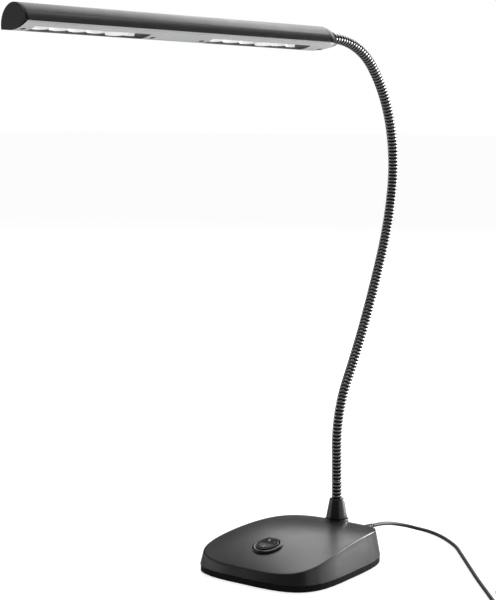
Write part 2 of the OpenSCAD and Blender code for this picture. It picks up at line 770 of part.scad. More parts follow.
module head_ferrule() {
    shank_end = nut_s - 0.6;
    cup_depth = ball_len + 0.3;
    face = entry_s - 0.4;
    bore = neck_bore_r - 0.3;
    color(steel) at_head() translate([0, 0, entry_h]) rotate([0, 90, 0]) rotate_extrude() polygon([
        [bore, shank_end], [shank_d / 2, shank_end], [shank_d / 2, boss_to], [6, boss_to],
        [6, face - 0.5], [5.5, face], [cup_r + 0.1, face], [cup_r + 0.1, face - cup_depth],
        [bore, face - cup_depth]]);
}

module ferrule_nut() {
    color(silver) at_head() translate([nut_s, 0, entry_h]) rotate([0, 90, 0]) difference() {
        cylinder(d = 9.2, h = nut_t, $fn = 6);
        translate([0, 0, -1]) cylinder(d = shank_d + 2 * thread_gap, h = nut_t + 2);
    }
}

module head_leads() {
    tip = carrier_z - board_under + 0.2;
    over = carrier_z + carrier_t + 2.2;
    last = lead_holes[2];
    color(black_plastic) at_head() {
        wire(concat([[nut_s - 0.9, 0, entry_h], [last + 7, 0, entry_h]], drop(last, 1, over, tip)),
            head_lead_d, [0, 1, 0]);
        wire(concat(reversed(drop(lead_holes[1], -1, over, tip)), drop(lead_holes[0], 1, over, tip)),
            head_lead_d, [0, 1, 0]);
    }
}
// Points of a lead that comes along the carrier from one side and drops through it at s
function drop(s, side, over, tip) = [[s + side * 4, 0, over], [s + side * 1.1, 0, over - 0.5],
    [s, 0, over - 2], [s, 0, tip]];
function reversed(v) = [for (k = [len(v) - 1 : -1 : 0]) v[k]];

// ---- Cord, coil and adapter ----

barrel_d = 5.5;
plug_len = 23;
relief_len = 20;
relief_tip_d = 5.4;
// Gap between two lengths of cord that are one in the real lamp
cord_gap = 0.15;
plug_face = base_d / 2;

module plug_barrel() {
    color(silver) translate([0, plug_face - 9.2, jack_z]) rotate([-90, 0, 0]) difference() {
        cylinder(d = barrel_d, h = 9.2);
        translate([0, 0, -1]) cylinder(d = 2.1, h = 9.2);
    }
}

module plug_body() {
    color(black_plastic) translate([0, plug_face, jack_z]) rotate([-90, 0, 0]) union() {
        translate([0, 0, 1.5]) cylinder(d = plug_d, h = plug_len - 3);
        cylinder(d1 = plug_d - 2, d2 = plug_d, h = 1.5);
        translate([0, 0, plug_len - 1.5]) cylinder(d1 = plug_d, d2 = plug_d - 2, h = 1.5);
        translate([0, 0, plug_len]) cylinder(d1 = plug_d - 2, d2 = relief_tip_d, h = relief_len);
    }
}

// The cord's way from the plug down to the table and along it to the coil
cord_start = [0, plug_face + plug_len + relief_len + cord_gap, jack_z];
cord_route = [[0, 133, 17], [0, 147, 16], [0, 165, 13], [4, 184, 8], [13, 195, 4], [27, 198, 2],
    [51, 186, 2], [81, 163, 2], [107, 135, 2], [164, 71, 2], [213, 18, 2]];
// Point on the table where the coil begins, and the way the cord runs there
coil_entry = [232, -3, 2];
coil_heading = -47;
coil_run = [cos(coil_heading), sin(coil_heading), 0];
coil_in = coil_entry - cord_d * coil_run;

module power_cord() {
    route = concat([cord_start], cord_route, [coil_in - 4 * coil_run, coil_in - cord_gap * coil_run]);
    color(black_plastic) swept_tube(smooth(route, 5), cord_d, 8);
}

// The coil winds in and out in four layers at a steady rate, and climbs in the half turn where it reverses
coil_layers = 4;
coil_gap = 0.5;
coil_pitch = cord_d + coil_gap;
layer_turns = coil_loops / coil_layers;
coil_outer = coil_mean_d / 2 + layer_turns * coil_pitch / 2;
coil_mid = coil_entry + coil_outer * [-sin(coil_heading), cos(coil_heading), 0];
loop_rings = 16;
// Distance in from the outer turn after t turns: down and up again once in two layers
function coil_in_turns(t) = let(u = t / layer_turns, w = u - 2 * floor(u / 2)) layer_turns * min(w, 2 - w);
// Layers climbed after t turns
function coil_climb(t) = sum([for (k = [1 : coil_layers - 1])
    let(c = max(0, min(1, (t - k * layer_turns) * 2 + 0.5))) c * c * (3 - 2 * c)]);
function coil_point(t) = let(r = coil_outer - coil_pitch * coil_in_turns(t), a = coil_heading - 90 + 360 * t)
    coil_mid + [r * cos(a), r * sin(a), coil_pitch * coil_climb(t)];
coil_steps = coil_loops * loop_rings;
coil_points = [for (k = [0 : coil_steps]) coil_point(k / loop_rings)];
coil_out = coil_points[coil_steps] + cord_d * coil_run;
// Least distance between turns, from points a third of a turn or more apart
coil_self = min([for (i = [0 : coil_steps], j = [i + 6 : 1 : coil_steps])
    norm(coil_points[i] - coil_points[j])]);
echo(coil_gap_to_itself = coil_self - cord_d);
echo(coil_length = sum([for (i = [1 : coil_steps]) norm(coil_points[i] - coil_points[i - 1])]));

module cord_coil() {
    pts = concat([coil_in], coil_points, [coil_out]);
    color(black_plastic) swept_tube(pts, cord_d, 6);
}

// The tail comes down from the coil's top layer to the adapter
coil_top = coil_pitch * (coil_layers - 1);
adapter_exit_z = 9;
tail_len = 78;
adapter_relief_len = 16;
adapter_tip = coil_out + tail_len * coil_run - [0, 0, coil_out[2] - adapter_exit_z];

module cord_tail() {
    // Distance along the run and drop below the coil's top at each point of the tail
    shape = [[cord_gap, 0], [6, 0.2], [18, 2.6], [30, 7.2], [42, 11], [54, 11.6], [64, 9.6], [72, 7.2]];
    along = [for (p = shape) coil_out + p[0] * coil_run - [0, 0, p[1] * coil_top / (3 * 4.3)]];
    route = concat(along, [adapter_tip - 3 * coil_run, adapter_tip - 2 * cord_gap * coil_run]);
    color(black_plastic) swept_tube(smooth(route, 2), cord_d, 8);
}

module at_adapter() {
    translate([adapter_tip[0], adapter_tip[1], 0]) rotate([0, 0, coil_heading]) children();
}

module adapter_relief() {
    color(black_plastic) at_adapter() translate([0, 0, adapter_exit_z]) rotate([0, 90, 0])
        cylinder(d1 = relief_tip_d, d2 = 8, h = adapter_relief_len);
}

adapter_r = 4;
adapter_wall = 2;
split_z = adapter_h * 0.62;

module adapter_outline(inset) {
    r = adapter_r - inset;
    for (x = [adapter_r, adapter_len - adapter_r], y = [-1, 1])
        translate([x, y * (adapter_w / 2 - adapter_r)]) circle(r = r);
    translate([adapter_r, inset - adapter_w / 2])
        square([adapter_len - 2 * adapter_r, adapter_w - 2 * inset]);
    translate([inset, adapter_r - adapter_w / 2])
        square([adapter_len - 2 * inset, adapter_w - 2 * adapter_r]);
}

module adapter_shell() {
    color(black_plastic) at_adapter() translate([adapter_relief_len, 0, 0]) difference() {
        linear_extrude(split_z) adapter_outline(0);
        translate([0, 0, adapter_wall]) linear_extrude(split_z) adapter_outline(adapter_wall);
    }
}

pin_spread = 19;
pin_w = 4;

module adapter_lid() {
    color(black_plastic) at_adapter() translate([adapter_relief_len, 0, split_z]) difference() {
        union() {
            linear_extrude(adapter_h - split_z) adapter_outline(0);
            translate([0, 0, -1.5]) linear_extrude(2) adapter_outline(adapter_wall + fit_gap);
        }
        translate([0, 0, -3]) linear_extrude(adapter_h - split_z + 3 - adapter_wall)
            adapter_outline(2 * adapter_wall);
        for (side = [-1, 1]) translate([adapter_len / 2, side * pin_spread / 2, 0])
            cylinder(d = pin_w + 2 * thread_gap, h = adapter_h);
    }
}

module mains_pins() {
    pin_z = adapter_h - adapter_wall - 3;
    color(silver) at_adapter() translate([adapter_relief_len + adapter_len / 2, 0, pin_z])
        for (side = [-1, 1]) translate([0, side * pin_spread / 2, 0]) union() {
            cylinder(d = pin_w, h = 22);
            translate([0, 0, 22]) cylinder(d1 = pin_w, d2 = 2.4, h = 2);
            cylinder(d = pin_w + 3, h = 3);
        }
}

foam_pad();
base_plate();
ballast_weight();
base_cover();
base_screws();
driver_board();
board_spacers();
board_screws();
driver_parts();
dc_jack();
base_leads();
switch_collar();
switch_housing();
switch_rocker();
rocker_pin();
switch_terminals();
neck_stud();
neck_washer();
neck_nut();
neck_sleeve();
for (i = [0 : len(link_bends) - 1]) {
    gooseneck_link(i);
    neck_lead(i);
}
shade();
front_end_cap();
rear_end_cap();
light_panel();
board_carrier();
for (k = [0, 1]) {
    reflector(window_starts[k]);
    led_board(window_starts[k]);
}
led_chips();
panel_screws();
head_ferrule();
ferrule_nut();
head_leads();
plug_barrel();
plug_body();
power_cord();
cord_coil();
cord_tail();
adapter_relief();
adapter_shell();
adapter_lid();
mains_pins();
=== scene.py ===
import math
import bmesh
import bpy
from mathutils import Matrix, Vector


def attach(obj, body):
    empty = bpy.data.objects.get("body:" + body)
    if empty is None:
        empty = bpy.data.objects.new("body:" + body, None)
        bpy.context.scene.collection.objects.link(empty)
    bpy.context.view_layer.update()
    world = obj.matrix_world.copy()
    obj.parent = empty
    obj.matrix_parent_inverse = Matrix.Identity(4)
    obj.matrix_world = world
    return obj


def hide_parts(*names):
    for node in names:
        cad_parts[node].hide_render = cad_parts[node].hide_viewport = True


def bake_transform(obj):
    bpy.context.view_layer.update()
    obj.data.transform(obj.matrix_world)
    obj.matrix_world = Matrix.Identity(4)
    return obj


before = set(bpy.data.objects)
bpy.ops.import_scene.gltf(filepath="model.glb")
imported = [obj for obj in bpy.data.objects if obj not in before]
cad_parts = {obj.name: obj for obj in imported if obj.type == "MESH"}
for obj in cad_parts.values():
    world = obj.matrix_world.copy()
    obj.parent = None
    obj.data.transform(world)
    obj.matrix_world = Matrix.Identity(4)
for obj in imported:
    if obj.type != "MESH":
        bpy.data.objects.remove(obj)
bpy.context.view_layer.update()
mm = 0.001


def addObject(name, data):
    piece = bpy.data.objects.new(name, data)
    bpy.context.scene.collection.objects.link(piece)
    return piece


def addMesh(name, points, faces, place=None, smooth=True):
    mesh = bpy.data.meshes.new(name)
    mesh.from_pydata([tuple(p) for p in points], [], faces)
    mesh.transform(Matrix.Scale(mm, 4))
    if place is not None:
        mesh.transform(place)
    piece = addObject(name, mesh)
    tidyNormals(piece)
    setSmooth(piece, smooth)
    return piece


def tidyNormals(piece, gap=1e-6):
    shape = bmesh.new()
    shape.from_mesh(piece.data)
    bmesh.ops.remove_doubles(shape, verts=shape.verts, dist=gap)
    bmesh.ops.recalc_face_normals(shape, faces=shape.faces)
    shape.to_mesh(piece.data)
    shape.free()


def setSmooth(piece, smooth=True, angle=35):
    for face in piece.data.polygons:
        face.use_smooth = smooth
    if smooth:
        shape = bmesh.new()
        shape.from_mesh(piece.data)
        for edge in shape.edges:
            if len(edge.link_faces) == 2 and edge.calc_face_angle(0) > math.radians(angle):
                edge.smooth = False
        shape.to_mesh(piece.data)
        shape.free()


def bandFaces(around, rows, closed=True):
    faces = []
    for i in range(rows - 1):
        for j in range(around if closed else around - 1):
            k = (j + 1) % around
            a = i * around
            faces.append((a + j, a + k, a + around + k, a + around + j))
    return faces


def ringSkin(name, rings, place=None, looped=False, capped=True, smooth=True):
    around = len(rings[0])
    points = [p for ring in rings for p in ring]
    faces = bandFaces(around, len(rings))
    if looped:
        last = (len(rings) - 1) * around
        faces += [(last + j, last + (j + 1) % around, (j + 1) % around, j) for j in range(around)]
    elif capped:
        faces.append(tuple(reversed(range(around))))
        faces.append(tuple(range((len(rings) - 1) * around, len(rings) * around)))
    return addMesh(name, points, faces, place, smooth)


def lathe(name, profile, place=None, around=96, looped=False):
    # profile is a list of (radius, height); the axis is Z
    rings = [[(r * math.cos(2 * math.pi * j / around), r * math.sin(2 * math.pi * j / around), z)
              for j in range(around)] for r, z in profile]
    return ringSkin(name, rings, place, looped, not looped)


def cutWith(piece, cutters):
    for cutter in cutters:
        cut = piece.modifiers.new("cut", "BOOLEAN")
        cut.operation = "DIFFERENCE"
        cut.solver = "EXACT"
        cut.object = cutter
    bakeModifiers(piece)
    for cutter in cutters:
        bpy.data.objects.remove(cutter, do_unlink=True)
    setSmooth(piece)


def bakeModifiers(piece):
    bpy.context.view_layer.update()
    depsgraph = bpy.context.evaluated_depsgraph_get()
    mesh = bpy.data.meshes.new_from_object(piece.evaluated_get(depsgraph))
    piece.modifiers.clear()
    if piece.type == "MESH":
        piece.data = mesh
        return piece
    return addObject(piece.name + "Mesh", mesh)


def joinPieces(name, parts):
    shape = bmesh.new()
    for part in parts:
        shape.from_mesh(part.data)
        bpy.data.objects.remove(part, do_unlink=True)
    mesh = bpy.data.meshes.new(name)
    shape.to_mesh(mesh)
    shape.free()
    piece = addObject(name, mesh)
    setSmooth(piece)
    return piece


def arc(cx, cy, r, start, end, steps):
    return [(cx + r * math.cos(math.radians(start + (end - start) * k / steps)),
             cy + r * math.sin(math.radians(start + (end - start) * k / steps))) for k in range(steps + 1)]


def boxMesh(name, low, high, place=None, rounding=0.0, steps=4):
    # a box whose upright edges are rounded
    x0, y0, z0 = low
    x1, y1, z1 = high
    r = max(rounding, 0.001)
    outline = (arc(x1 - r, y1 - r, r, 0, 90, steps) + arc(x0 + r, y1 - r, r, 90, 180, steps)
               + arc(x0 + r, y0 + r, r, 180, 270, steps) + arc(x1 - r, y0 + r, r, 270, 360, steps))
    return ringSkin(name, [[(x, y, z) for x, y in outline] for z in (z0, z1)], place)


def moved(x, y, z):
    return Matrix.Translation(Vector((x, y, z)) * mm)


def newMaterial(name):
    material = bpy.data.materials.new(name)
    material.use_nodes = True
    nodes = material.node_tree.nodes
    return material, nodes, material.node_tree.links, nodes["Principled BSDF"]


def addNoise(nodes, links, coords, scale, detail=4.0, stretch=None):
    noise = nodes.new("ShaderNodeTexNoise")
    noise.inputs["Scale"].default_value = scale
    noise.inputs["Detail"].default_value = detail
    if stretch is None:
        links.new(coords, noise.inputs["Vector"])
    else:
        mapping = nodes.new("ShaderNodeMapping")
        mapping.inputs["Rotation"].default_value = stretch[0]
        mapping.inputs["Scale"].default_value = stretch[1]
        links.new(coords, mapping.inputs["Vector"])
        links.new(mapping.outputs["Vector"], noise.inputs["Vector"])
    return noise.outputs["Fac"]


def addRange(nodes, links, value, low, high):
    span = nodes.new("ShaderNodeMapRange")
    span.inputs["To Min"].default_value = low
    span.inputs["To Max"].default_value = high
    links.new(value, span.inputs["Value"])
    return span.outputs["Result"]


def addColourMix(nodes, links, value, dark, light):
    mix = nodes.new("ShaderNodeMix")
    mix.data_type = "RGBA"
    mix.inputs["A"].default_value = (*dark, 1)
    mix.inputs["B"].default_value = (*light, 1)
    links.new(value, mix.inputs["Factor"])
    return mix.outputs["Result"]


def addBump(nodes, links, height, strength, distance):
    bump = nodes.new("ShaderNodeBump")
    bump.inputs["Strength"].default_value = strength
    bump.inputs["Distance"].default_value = distance
    links.new(height, bump.inputs["Height"])
    return bump.outputs["Normal"]


def surfaceMaterial(name, look):
    material, nodes, links, shader = newMaterial(name)
    coords = nodes.new("ShaderNodeTexCoord").outputs["Object"]
    shader.inputs["Metallic"].default_value = look.get("metallic", 0.0)
    shader.inputs["IOR"].default_value = 1.5
    shader.inputs["Specular IOR Level"].default_value = look.get("shine", 0.5)
    cloud = addNoise(nodes, links, coords, 40, 3)
    dark = look["colour"]
    light = look.get("light", tuple(min(1, c * 1.25 + 0.004) for c in dark))
    links.new(addColourMix(nodes, links, cloud, dark, light), shader.inputs["Base Color"])
    grain = addNoise(nodes, links, coords, look.get("grainScale", 1800), 2, look.get("stretch"))
    rough = look["roughness"]
    wear = addNoise(nodes, links, coords, 90, 6)
    links.new(addRange(nodes, links, wear, rough * 0.85, rough * 1.18), shader.inputs["Roughness"])
    normal = addBump(nodes, links, grain, look.get("bump", 0.2), look.get("depth", 0.00006))
    links.new(normal, shader.inputs["Normal"])
    return material


finishes = {
    "coverPlastic": dict(colour=(0.006, 0.006, 0.0065), roughness=0.3, grainScale=900, bump=0.5),
    "platePaint": dict(colour=(0.003, 0.003, 0.003), shine=0.12, roughness=0.4, grainScale=2200, bump=0.15),
    "padFoam": dict(colour=(0.012, 0.012, 0.012), roughness=0.9, grainScale=900, bump=0.8, depth=0.0003),
    "ballastIron": dict(colour=(0.12, 0.12, 0.125), roughness=0.6, metallic=0.8, grainScale=500, bump=0.6),
    "glossBlack": dict(colour=(0.005, 0.005, 0.005), roughness=0.16, grainScale=700, bump=0.05),
    "rockerBlack": dict(colour=(0.007, 0.007, 0.007), roughness=0.42, shine=0.3, grainScale=1200, bump=0.2),
    "mattBlack": dict(colour=(0.006, 0.006, 0.006), roughness=0.5, shine=0.3, grainScale=1700, bump=0.3),
    "sleevePlastic": dict(colour=(0.009, 0.009, 0.010), roughness=0.28, grainScale=1500, bump=0.15),
    "neckPaint": dict(colour=(0.16, 0.16, 0.165), roughness=0.2, grainScale=1200, bump=0.1, metallic=0.9),
    "shadeAnodised": dict(colour=(0.005, 0.005, 0.0053), roughness=0.38, shine=0.8, grainScale=900, bump=0.14,
                          stretch=((0, 0, 0), (3, 0.05, 3))),
    "panelPlastic": dict(colour=(0.33, 0.333, 0.336), roughness=0.42, shine=0.3, grainScale=1500, bump=0.2),
    "reflectorWhite": dict(colour=(0.80, 0.80, 0.79), light=(0.86, 0.86, 0.85), roughness=0.3, bump=0.05),
    # painted shade: a dark grey put on the window walls and recess parts in place of their shade
    "paintedShade": dict(colour=(0.08, 0.08, 0.082), roughness=0.4, bump=0.05, shine=0.3),
    "boardGreen": dict(colour=(0.01, 0.05, 0.02), roughness=0.4, bump=0.3),
    "screwSteel": dict(colour=(0.28, 0.28, 0.29), roughness=0.3, metallic=1.0, grainScale=900, bump=0.15),
    "darkScrew": dict(colour=(0.03, 0.03, 0.032), roughness=0.35, metallic=0.6, grainScale=900, bump=0.15),
    "carrierMetal": dict(colour=(0.55, 0.55, 0.56), roughness=0.35, metallic=1.0, grainScale=700, bump=0.2),
    "contactBrass": dict(colour=(0.5, 0.38, 0.17), roughness=0.3, metallic=1.0, bump=0.1),
    "phosphorYellow": dict(colour=(0.75, 0.62, 0.12), light=(0.85, 0.74, 0.2), roughness=0.35, bump=0.1),
    "cordRubber": dict(colour=(0.013, 0.013, 0.013), roughness=0.42, grainScale=1100, bump=0.35),
    "markWhite": dict(colour=(0.72, 0.72, 0.71), light=(0.8, 0.8, 0.79), roughness=0.5, bump=0.05),
}
materials = {name: surfaceMaterial(name, look) for name, look in finishes.items()}


def paintGrooveShade(material, deep, pale):
    # painted shade: the hose keeps how near each point is to a rib's crest, and the grooves between the
    # crests are painted near black as their shade
    nodes, links = material.node_tree.nodes, material.node_tree.links
    shader = nodes["Principled BSDF"]
    crest = nodes.new("ShaderNodeAttribute")
    crest.attribute_name = "crest"
    steep = nodes.new("ShaderNodeMath")
    steep.operation = "POWER"
    steep.inputs[1].default_value = 6.0
    links.new(crest.outputs["Fac"], steep.inputs[0])
    links.new(addColourMix(nodes, links, steep.outputs[0], deep, pale), shader.inputs["Base Color"])


paintGrooveShade(materials["neckPaint"], (0.003, 0.003, 0.003), (0.5, 0.5, 0.505))


def finish(piece, name):
    piece.data.materials.clear()
    piece.data.materials.append(materials[name])


def finishNode(node, name):
    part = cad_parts[node]
    part.material_slots[0].material = materials[name]


print("materials made")


photo = dict(width=496, height=600, focal=1720.0, centreX=239.9, centreY=303.2,
             place=(1016.9, -1321.5, 445.6), right=(0.7715, 0.6362, 0.0), back=(0.6324, -0.7669, 0.1091))


def makeCamera(look):
    lens = bpy.data.cameras.new("photoCamera")
    camera = addObject("photoCamera", lens)
    right = Vector(look["right"]).normalized()
    back = Vector(look["back"]).normalized()
    up = back.cross(right).normalized()
    turn = Matrix((right, up, right.cross(up))).transposed()
    camera.matrix_world = Matrix.Translation(Vector(look["place"]) * mm) @ turn.to_4x4()
    lens.sensor_fit = "VERTICAL"
    lens.sensor_height = 24
    lens.lens = look["focal"] * lens.sensor_height / look["height"]
    lens.shift_x = (look["width"] / 2 - look["centreX"]) / look["height"]
    lens.shift_y = (look["centreY"] - look["height"] / 2) / look["height"]
    lens.clip_end = 50
    bpy.context.scene.camera = camera


makeCamera(photo)


base = dict(width=139.0, depth=172.0, power=3.7, flare=0.145, frontHigh=15.0, crestHigh=32.3, rearHigh=29.0,
            rearCrown=0.5, midCrown=5.7, seam=6.8, wall=2.5, lean=0.175, edge=1.2, neckBack=66.5,
            bossRise=2.7, bossWide=24.0, bossBore=10.4)
cord = dict(thick=3.8, start=(0, 129.15, 17),
            route=[(0, 133, 17), (0, 147, 16), (0, 165, 13), (4, 184, 8), (13, 195, 4), (27, 198, 2),
                   (51, 186, 2), (81, 163, 2), (107, 135, 2), (164, 71, 2), (213, 18, 2)],
            coilEntry=(232, -3, 2), heading=-47, loops=9, layers=4, gap=0.5, meanWide=45.6,
            ringsPerLoop=48, lead=4.0, tailLong=78, exitHigh=9, drop=12.9,
            tail=[(0, 0), (6, 0.2), (18, 2.6), (30, 7.2), (42, 11), (54, 11.6), (64, 9.6), (72, 7.2)])


def smoothRoute(points, steps):
    out = []
    for i in range(len(points) - 1):
        a, b = points[max(i - 1, 0)], points[i]
        c, d = points[i + 1], points[min(i + 2, len(points) - 1)]
        for k in range(steps):
            t = k / steps
            out.append(0.5 * (2 * b + (c - a) * t + (2 * a - 5 * b + 4 * c - d) * t * t
                              + (3 * b - a - 3 * c + d) * t ** 3))
    return out + [points[-1]]


def coilPoints(c):
    pitch = c["thick"] + c["gap"]
    turns = c["loops"] / c["layers"]
    outer = c["meanWide"] / 2 + turns * pitch / 2
    heading = math.radians(c["heading"])
    run = Vector((math.cos(heading), math.sin(heading), 0))
    middle = Vector(c["coilEntry"]) + outer * Vector((-run.y, run.x, 0))
    out = []
    for k in range(c["loops"] * c["ringsPerLoop"] + 1):
        t = k / c["ringsPerLoop"]
        w = (t / turns) % 2
        r = outer - pitch * turns * min(w, 2 - w)
        climb = 0
        for layer in range(1, c["layers"]):
            rise = max(0, min(1, (t - layer * turns) * 2 + 0.5))
            climb += rise * rise * (3 - 2 * rise)
        a = heading - math.pi / 2 + 2 * math.pi * t
        out.append(middle + Vector((r * math.cos(a), r * math.sin(a), pitch * climb)))
    return out, run, pitch, middle, outer


def cordPath(c):
    coil, run, pitch, middle, outer = coilPoints(c)
    entry = coil[0] - c["thick"] * run
    way = [Vector(c["start"])] + [Vector(p) for p in c["route"]] + [entry - c["lead"] * run, entry]
    out = coil[-1] + c["thick"] * run
    top = pitch * (c["layers"] - 1)
    tail = [out + p[0] * run - Vector((0, 0, p[1] * top / c["drop"])) for p in c["tail"]]
    tip = out + c["tailLong"] * run
    tip.z = c["exitHigh"]
    return smoothRoute(way, 5) + coil + smoothRoute(tail + [tip - 2 * run, tip], 2)


def addCurve(name, points):
    curve = bpy.data.curves.new(name, "CURVE")
    curve.dimensions = "3D"
    line = curve.splines.new("POLY")
    line.points.add(len(points) - 1)
    for spot, p in zip(line.points, points):
        spot.co = (*p, 1)
    return curve


def makeCord(c):
    points = [p * mm for p in cordPath(c)]
    curve = addCurve("powerCord", points)
    curve.bevel_depth = c["thick"] / 2 * mm
    curve.bevel_resolution = 5
    curve.use_fill_caps = True
    piece = addObject("powerCord", curve)
    length = sum((b - a).length for a, b in zip(points, points[1:]))
    print("cord length", round(length, 3))
    finish(piece, "cordRubber")
    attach(piece, "base")
    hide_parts("power_cord", "cord_coil", "cord_tail")
    return piece, length


powerCord, cordLong = makeCord(cord)

tie = dict(wide=5.0, thick=0.7, corner=2.0, low=0.75, gap=0.1)


def makeTie(t, c):
    # a strap round the bundle, across from where the cord enters
    coil, run, pitch, middle, outer = coilPoints(c)
    across = Vector((-run.y, run.x, 0))
    inner = outer - pitch * c["loops"] / c["layers"]
    clear = c["thick"] / 2 + t["gap"]
    low, high = t["low"], middle.z + pitch * (c["layers"] - 1) + clear
    near, far = inner - clear, outer + clear

    def loop(grow, along):
        r = t["corner"] + grow
        left, right = near - grow + r, far + grow - r
        bottom, top = low - grow + r, high + grow - r
        outline = (arc(right, top, r, 0, 90, 6) + arc(left, top, r, 90, 180, 6)
                   + arc(left, bottom, r, 180, 270, 6) + arc(right, bottom, r, 270, 360, 6))
        flat = Vector((middle.x, middle.y, 0))
        return [flat + across * x + run * along + Vector((0, 0, z)) for x, z in outline]

    half = t["wide"] / 2
    rings = [loop(0, -half), loop(t["thick"], -half), loop(t["thick"], half), loop(0, half)]
    piece = ringSkin("coilTie", rings, looped=True)
    finish(piece, "mattBlack")
    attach(piece, "base")
    return piece


coilTie = makeTie(tie, cord)


plug = dict(face=86.0, high=17.0, wide=10.0, long=23.0, gripRings=5, gripFrom=10.5, gripPitch=2.2,
            reliefLong=20.0, tipWide=5.4, grooves=6)


def makePlug(p):
    # a turned body with grip rings, then the grooved relief
    r = p["wide"] / 2
    profile = [(0.01, 0), (r - 1.2, 0), (r - 0.6, 0.3), (r, 1.4), (r, 10)]
    for k in range(p["gripRings"]):
        z = p["gripFrom"] + k * p["gripPitch"]
        profile += [(r, z), (r - 0.35, z + 0.4), (r - 0.35, z + 0.9), (r, z + 1.3)]
    profile += [(r, p["long"] - 1.4), (r - 0.5, p["long"] - 0.4), (r - 1, p["long"])]
    tip = p["tipWide"] / 2
    step = p["reliefLong"] / p["grooves"]
    for k in range(p["grooves"]):
        z = p["long"] + k * step
        here = r - 1 + (tip - r + 1) * k / p["grooves"]
        then = r - 1 + (tip - r + 1) * (k + 1) / p["grooves"]
        profile += [(here - 0.1, z + 0.1), (then - 0.05, z + step * 0.6), (then - 0.55, z + step * 0.65),
                    (then - 0.55, z + step * 0.95)]
    end = p["long"] + p["reliefLong"]
    profile += [(tip, end - 0.1), (tip - 0.3, end), (0.01, end)]
    place = moved(0, p["face"], p["high"]) @ Matrix.Rotation(-math.pi / 2, 4, "X")
    piece = lathe("plugBody", profile, place, 48)
    finish(piece, "cordRubber")
    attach(piece, "base")
    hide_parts("plug_body")
    return piece


plugBody = makePlug(plug)
print("cord laid")


def topHigh(b, x, y):
    u = 2 * y / b["depth"]
    v = 2 * x / b["width"]
    return (b["crestHigh"] + (b["rearHigh"] - b["frontHigh"]) / 2 * u
            + ((b["rearHigh"] + b["frontHigh"]) / 2 - b["crestHigh"]) * u * u
            + (b["rearCrown"] * (1 + u) / 2 + b["midCrown"] * (1 - u * u)) * (1 - v * v))


def outlinePoint(b, angle, inset):
    c, s = math.cos(angle), math.sin(angle)
    r = (abs(c) ** b["power"] + abs(s) ** b["power"]) ** (-1 / b["power"])
    y = (b["depth"] / 2 - inset) * r * s
    x = (b["width"] / 2 - inset) * r * c * (1 - b["flare"] * 2 * y / b["depth"])
    return x, y


def makeCover(b, s):
    around = 288

    def ring(inset, share, depth):
        out = []
        for j in range(around):
            angle = 2 * math.pi * (j + 0.5) / around
            lean = b["lean"] * (topHigh(b, *outlinePoint(b, angle, 0)) - b["seam"])
            x, y = outlinePoint(b, angle, inset + lean)
            x, y = x * share, y * share
            out.append((x, y, topHigh(b, x, y) - depth))
        return out

    def levelRing(inset, level):
        return [(*outlinePoint(b, 2 * math.pi * (j + 0.5) / around, inset), level)
                for j in range(around)]

    e = b["edge"]
    rings = [ring(b["wall"], s, b["wall"]) for s in (0.02, 0.3, 0.65, 1)]
    rings += [levelRing(b["wall"], b["seam"]), levelRing(0.35, b["seam"]), levelRing(0, b["seam"] + 0.35)]
    low, top = rings[6], ring(0, 1, e)
    for k in range(1, 6):
        rings.append([tuple(a + (c - a) * k / 6 for a, c in zip(p, q)) for p, q in zip(low, top)])
    for k in range(0, 7):
        a = math.radians(90 * k / 6)
        rings.append(ring(e * (1 - math.cos(a)), 1, e * (1 - math.sin(a))))
    for k in range(1, 61):
        rings.append(ring(e, 1 - k / 61, 0))
    shell = ringSkin("coverShell", rings)
    place = switchPlace(b, s)
    hole, seat = s["bodyWide"] / 2 + 0.1, s["collarWide"] / 2 + 0.1
    cutWith(shell, [lathe("switchHole", [(hole, -20), (hole, 20)], place, 64),
                    lathe("collarSeat", [(seat, -s["sink"]), (seat, 20)], place, 96),
                    lathe("jackHole", [(4.6, 60), (4.6, 90)],
                          moved(0, 0, plug["high"]) @ Matrix.Rotation(-math.pi / 2, 4, "X"), 64)])
    top = topHigh(b, 0, b["neckBack"]) + b["bossRise"]
    r, bore = b["bossWide"] / 2, b["bossBore"] / 2
    boss = lathe("neckBoss", [(bore, top - 7), (r, top - 7), (r, top - 0.5), (r - 0.15, top - 0.15),
                              (r - 0.5, top), (bore, top)], moved(0, b["neckBack"], 0), 96, True)
    piece = joinPieces("baseCover", [shell, boss])
    finish(piece, "coverPlastic")
    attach(piece, "base")
    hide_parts("base_cover")
    return piece


switch = dict(front=46.0, bezelWide=22.4, bodyWide=20.0, collarWide=30.0, sink=1.2, collarHigh=3.4,
              bezelTop=3.1, pivotHigh=0.5, ballRadius=9.1, tilt=8.0, bodyDeep=11.0, cavityDeep=6.0,
              faceHigh=2.7, faceRise=1.4, markThick=0.05, markLift=0.01)


def switchPlace(b, s):
    front = s["front"]
    slope = math.atan((topHigh(b, 0, 1 - front) - topHigh(b, 0, -1 - front)) / 2)
    return moved(0, -front, topHigh(b, 0, -front)) @ Matrix.Rotation(slope, 4, "X")


makeCover(base, switch)


